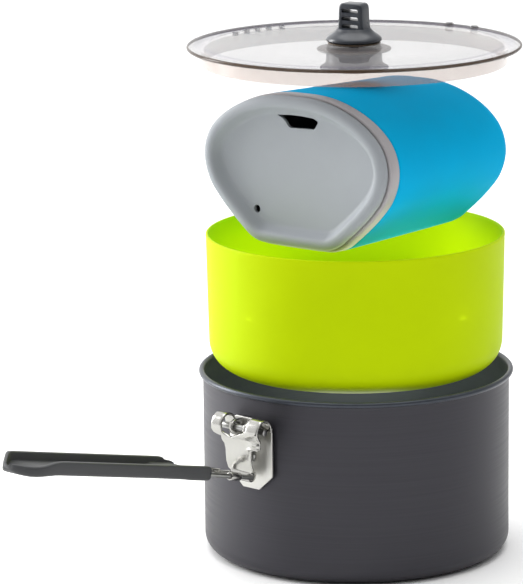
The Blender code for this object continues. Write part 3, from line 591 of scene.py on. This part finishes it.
for u, z, key in cp:
    lo_, li_, ri_, ro_ = lerp(LO, key), lerp(LI, key), lerp(RI, key), lerp(RO, key)
    if key > 48.0:
        li_, ri_ = lo_ + (ro_ - lo_) * 0.33, lo_ + (ro_ - lo_) * 0.5
    if key <= 48.0 or True:
        v = [lo_ + (li_ - lo_) * k / NC[0] for k in range(NC[0])] + [li_ + (ri_ - li_) * k / NC[1] for k in range(NC[1])] + \
            [ri_ + (ro_ - ri_) * k / NC[2] for k in range(NC[2] + 1)]
    rowsv.append(v)
bm = bmesh.new()
n_, m_ = len(cp), len(rowsv[0])
VV = {}
for i in range(n_):
    a, b = cp[max(i - 1, 0)], cp[min(i + 1, n_ - 1)]
    d = Vector((b[0] - a[0], b[1] - a[1])).normalized()
    nx, nz = -d.y, d.x
    if i == 0:
        pass
    for j in range(m_):
        v = rowsv[i][j]
        w = min(1.0, max(0.0, (v - 6.6) / 1.6))
        off = lerp(WAVE, cp[i][2]) * w
        for s_ in (1, -1):
            VV[i, j, s_] = (-(cp[i][0] + nx * s_ * 0.55 + abs(nx) * 0 + off * (1 if nx >= 0 else -1) * abs(nx)) * MM, -v * MM,
                            (cp[i][1] + nz * s_ * 0.55) * MM)
on = lambda i, j: 0 <= i < n_ - 1 and 0 <= j < m_ - 1 and (cp[i][2] >= 47.9 or not NC[0] <= j < NC[0] + NC[1])
V2 = {}


def gv(*k):
    if k not in V2:
        V2[k] = bm.verts.new(VV[k])
    return V2[k]


for i in range(n_ - 1):
    for j in range(m_ - 1):
        if not on(i, j):
            continue
        bm.faces.new((gv(i, j, 1), gv(i + 1, j, 1), gv(i + 1, j + 1, 1), gv(i, j + 1, 1)))
        bm.faces.new((gv(i, j, -1), gv(i, j + 1, -1), gv(i + 1, j + 1, -1), gv(i + 1, j, -1)))
        if not on(i - 1, j):
            bm.faces.new((gv(i, j, 1), gv(i, j + 1, 1), gv(i, j + 1, -1), gv(i, j, -1)))
        if not on(i + 1, j):
            bm.faces.new((gv(i + 1, j, 1), gv(i + 1, j, -1), gv(i + 1, j + 1, -1), gv(i + 1, j + 1, 1)))
        if not on(i, j - 1):
            bm.faces.new((gv(i, j, 1), gv(i, j, -1), gv(i + 1, j, -1), gv(i + 1, j, 1)))
        if not on(i, j + 1):
            bm.faces.new((gv(i, j + 1, 1), gv(i + 1, j + 1, 1), gv(i + 1, j + 1, -1), gv(i, j + 1, -1)))
claw = obj(bm, "claw_v", steel)
bevel(claw, 0.2, 2, 50)
place(claw, "handle", ["claw"])
for n in ("ferrule_left", "ferrule_right"):
    copy_of(n, "handle", steel, 0.15)
copy_of("handle_wire", "handle", steel2, 0.0)

# grip: trough with two rails and a scooped tip
SL, GZ, CA, SA = math.tan(math.radians(13.0)), 56.0, math.cos(math.radians(13.0)), math.sin(math.radians(13.0))


def grip_ring(u, wf, wn, hb, dn, df, wall, fl):
    w, m, Hh = (wf + wn) / 2, (wn - wf) / 2, 6.0
    c = min(1.3, w * 0.3)
    hn, hf, q = Hh - dn, Hh - df, w - wall
    e = 0.6 * min(1.0, q)
    P = [(-w + c, hb), (-w * 0.5, hb - 0.02), (0, hb - 0.03), (w * 0.5, hb - 0.02), (w - c, hb), (w - c * 0.45, hb + c * 0.2), (w - c * 0.12, hb + c * 0.55), (w, hb + c), (w, hn - 0.9),
         (w - 0.12, hn - 0.4), (w - 0.45, hn - 0.1), (w - 0.9, hn), (q + 0.7, hn), (q + 0.3, hn - 0.12), (q, hn - 0.5),
         (q, fl + e), (q - e * 0.3, fl + e * 0.3), (q - e, fl), (0, fl), (-q + e, fl), (-q + e * 0.3, fl + e * 0.3), (-q, fl + e),
         (-q, hf - 0.5), (-q - 0.3, hf - 0.12), (-q - 0.7, hf), (-w + 0.9, hf), (-w + 0.45, hf - 0.1), (-w + 0.12, hf - 0.4), (-w, hf - 0.9),
         (-w, hb + c), (-w + c * 0.12, hb + c * 0.55), (-w + c * 0.45, hb + c * 0.2)]
    zz = GZ + (u - 110.0) * SL
    return [(-(u - h * SA), -(v + m), zz + h * CA) for v, h in P]


ST = [(114.0, 13.2, 13.2, 0.9, 1.9, 1.9, 3.9, 3.2), (114.25, 14.0, 14.0, 0.35, 1.2, 1.6, 3.7, 3.4), (114.9, 14.6, 14.6, -0.1, 0.5, 1.45, 3.4, 3.4), (116.2, 15.0, 15.0, -0.4, 0, 1.4, 3.3, 3.4),
      (117.6, 15.0, 15.0, -0.4, 0, 1.0, 3.3, 3.4), (118.6, 15.0, 15.0, -0.4, 0, 0.3, 3.3, 3.4), (120.0, 15.0, 15.0, -0.4, 0, 0, 3.3, 3.4), (127.0, 15.0, 15.0, -0.4, 0, 0, 3.3, 3.4),
      (130.0, 15.0, 15.0, -0.2, 0, 0, 3.3, 2.2), (134.0, 15.0, 15.0, -0.1, 0, 0, 3.3, 2.2),
      (150.0, 15.0, 15.0, 0, 0, 0, 3.3, 2.2), (175.0, 15.0, 15.0, 0, 0, 0, 3.3, 2.2), (195.0, 15.0, 15.0, 0, 0, 0, 3.3, 2.2), (203.0, 15.0, 15.0, 0, 0, 0, 3.3, 2.2),
      (207.0, 15.0, 15.0, 0, 0.1, 0, 3.2, 2.2), (209.5, 15.0, 15.0, -0.1, 0.4, 0, 3.0, 2.0), (211.5, 14.3, 15.0, -0.3, 0.8, 0, 2.8, 1.6),
      (213.5, 12.8, 14.9, -0.5, 1.4, 0, 2.5, 1.2), (216.0, 10.6, 14.6, -0.8, 2.1, 0.1, 2.3, 0.9), (218.5, 8.2, 13.8, -1.1, 2.6, 0.4, 2.2, 0.7),
      (221.0, 5.8, 12.2, -1.3, 2.9, 0.9, 2.2, 0.8), (223.0, 3.9, 10.3, -1.2, 3.0, 1.5, 2.2, 1.0), (224.8, 2.2, 8.0, -0.7, 3.0, 2.2, 2.2, 1.6),
      (226.0, 0.8, 5.4, 0.2, 3.1, 2.9, 2.0, 2.2)]
stn = []
for i in range(len(ST) - 1):
    a, b = ST[i], ST[i + 1]
    n = max(1, int((b[0] - a[0]) / 1.6)) if a[0] >= 203.0 else max(1, int((b[0] - a[0]) / 8.0))
    for j in range(n):
        t = j / n
        stn.append(tuple(p + (q - p) * t for p, q in zip(a, b)))
stn.append(ST[-1])
grip = loft("grip_v", [grip_ring(*r) for r in stn], gripm)
leg = lambda u: (49.5 - 0.5) + (u - 77.5) * 0.255
cut(grip, [tube("c", [(-u, -s_ * (5.6 + 0.9 * (125.0 - u) / (125.0 - 80.7)), leg(u)) for u in (111.0, 125.4)], 1.25, gripm, 16) for s_ in (-1, 1)])
place(grip, "handle", ["handle_grip"])

# -------------------------------------------------------- camera and light
ROT = Matrix.Rotation(math.radians(-49.0), 3, "Z")
D, H = 1.67098, 0.49062
pitch, cyaw, roll = math.radians(12.478), math.radians(-1.4894), math.radians(-0.6363)
fw = Vector((math.sin(cyaw) * math.cos(pitch), math.cos(cyaw) * math.cos(pitch), -math.sin(pitch)))
r0 = fw.cross(Vector((0, 0, 1))).normalized()
u0 = r0.cross(fw)
rr_ = r0 * math.cos(roll) + u0 * math.sin(roll)
uu_ = -r0 * math.sin(roll) + u0 * math.cos(roll)
rr_, uu_, ff = ROT @ rr_, ROT @ uu_, ROT @ fw
cam = bpy.data.objects.new("cam", bpy.data.cameras.new("cam"))
scn.collection.objects.link(cam)
cam.matrix_world = Matrix.Translation(ROT @ Vector((0, -D, H))) @ Matrix((rr_, uu_, -ff)).transposed().to_4x4()
cam.data.sensor_width = 36.0
cam.data.lens = 3701.86 * 36.0 / 584.0
cam.data.clip_start, cam.data.clip_end = 0.05, 100
scn.camera = cam

fm = surface("floor_white", (254, 254, 254), rough=0.85, vary=0.003, cscale=4.0, bscale=60.0, bstr=0.02, spec=0.0)
bm = bmesh.new()
for i in range(9):
    for j in range(9):
        bm.verts.new(((i - 4) * 4.0, (j - 4) * 4.0, -0.0002))
bm.verts.ensure_lookup_table()
for i in range(8):
    for j in range(8):
        bm.faces.new([bm.verts[k] for k in (i * 9 + j, (i + 1) * 9 + j, (i + 1) * 9 + j + 1, i * 9 + j + 1)])
floor = obj(bm, "floor", fm)


def area(name, loc, target, sx, sy, power, col=(1, 1, 1)):
    L = bpy.data.lights.new(name, "AREA")
    L.shape = "RECTANGLE"
    L.size, L.size_y = sx, sy
    L.energy = power
    L.color = col
    o = bpy.data.objects.new(name, L)
    scn.collection.objects.link(o)
    p = ROT @ Vector(loc)
    t = ROT @ Vector(target)
    o.location = p
    o.rotation_euler = (t - p).to_track_quat("-Z", "Y").to_euler()
    return o


area("top", (0.0, 0.25, 1.9), (0, 0, 0.1), 1.8, 1.8, 24)
area("left", (-1.35, 0.55, 0.5), (0, 0, 0.12), 0.5, 1.2, 20)
area("right", (1.4, 0.9, 0.5), (0, 0, 0.12), 0.4, 1.2, 0.8)

# soft fills inside the two open vessels
for nm, loc, tgt, sx, sy, pw in (("fill_bowl", (0.0, -0.050, 0.140), (0, 0.06, 0.136), 0.07, 0.015, 0.0),
                                 ("fill_bowl2", (0.0, 0.0, 0.1465), (0, 0.001, 0.0), 0.09, 0.09, 0.02),
                                 ("fill_bowl3", (0.0, 0.0, 0.118), (0, 0.001, 0.3), 0.10, 0.10, 0.035),
                                 ("fill_pot", (0.0, 0.0, 0.030), (0.0, 0.001, 0.1), 0.05, 0.05, 0.05)):
    if pw > 0:
        o = area(nm, loc, tgt, sx, sy, pw)
        o.visible_camera = False

w = bpy.data.worlds.new("studio")
scn.world = w
w.use_nodes = True
nt = w.node_tree
bg = nt.nodes["Background"]
tc = nt.nodes.new("ShaderNodeTexCoord")


def dotp(vec, lo, hi, a, b):
    v = ROT @ Vector(vec)
    d = nt.nodes.new("ShaderNodeVectorMath")
    d.operation = "DOT_PRODUCT"
    nt.links.new(tc.outputs["Generated"], d.inputs[0])
    d.inputs[1].default_value = tuple(v)
    r = nt.nodes.new("ShaderNodeMapRange")
    r.interpolation_type = "SMOOTHSTEP"
    r.inputs["From Min"].default_value = lo
    r.inputs["From Max"].default_value = hi
    r.inputs["To Min"].default_value = a
    r.inputs["To Max"].default_value = b
    nt.links.new(d.outputs["Value"], r.inputs["Value"])
    return r.outputs["Result"]


def mx(a, b, op="MAXIMUM"):
    m = nt.nodes.new("ShaderNodeMath")
    m.operation = op
    nt.links.new(a, m.inputs[0])
    nt.links.new(b, m.inputs[1])
    return m.outputs["Value"]


far = dotp((-0.22, 0.975, 0), -0.75, 0.25, 0.08, 1.0)          # white sweep behind, dark room in front
top = dotp((0, 0, 1), 0.25, 0.8, 0.0, 1.0)             # big soft box overhead
left = dotp((-0.93, -0.2, 0.3), 0.80, 0.97, 0.0, 0.75)  # soft box on the left
side_l = dotp((-0.75, 0.66, 0), 0.45, 0.95, 1.0, 1.45)      # brighter wing on the left
side_r = dotp((0.98, 0.2, 0), 0.2, 0.85, 1.0, 0.40)        # flag on the right
v = mx(mx(mx(mx(far, side_l, "MULTIPLY"), side_r, "MULTIPLY"), top), left)
nt.links.new(v, bg.inputs["Strength"])
bg.inputs["Color"].default_value = (1, 1, 1, 1)
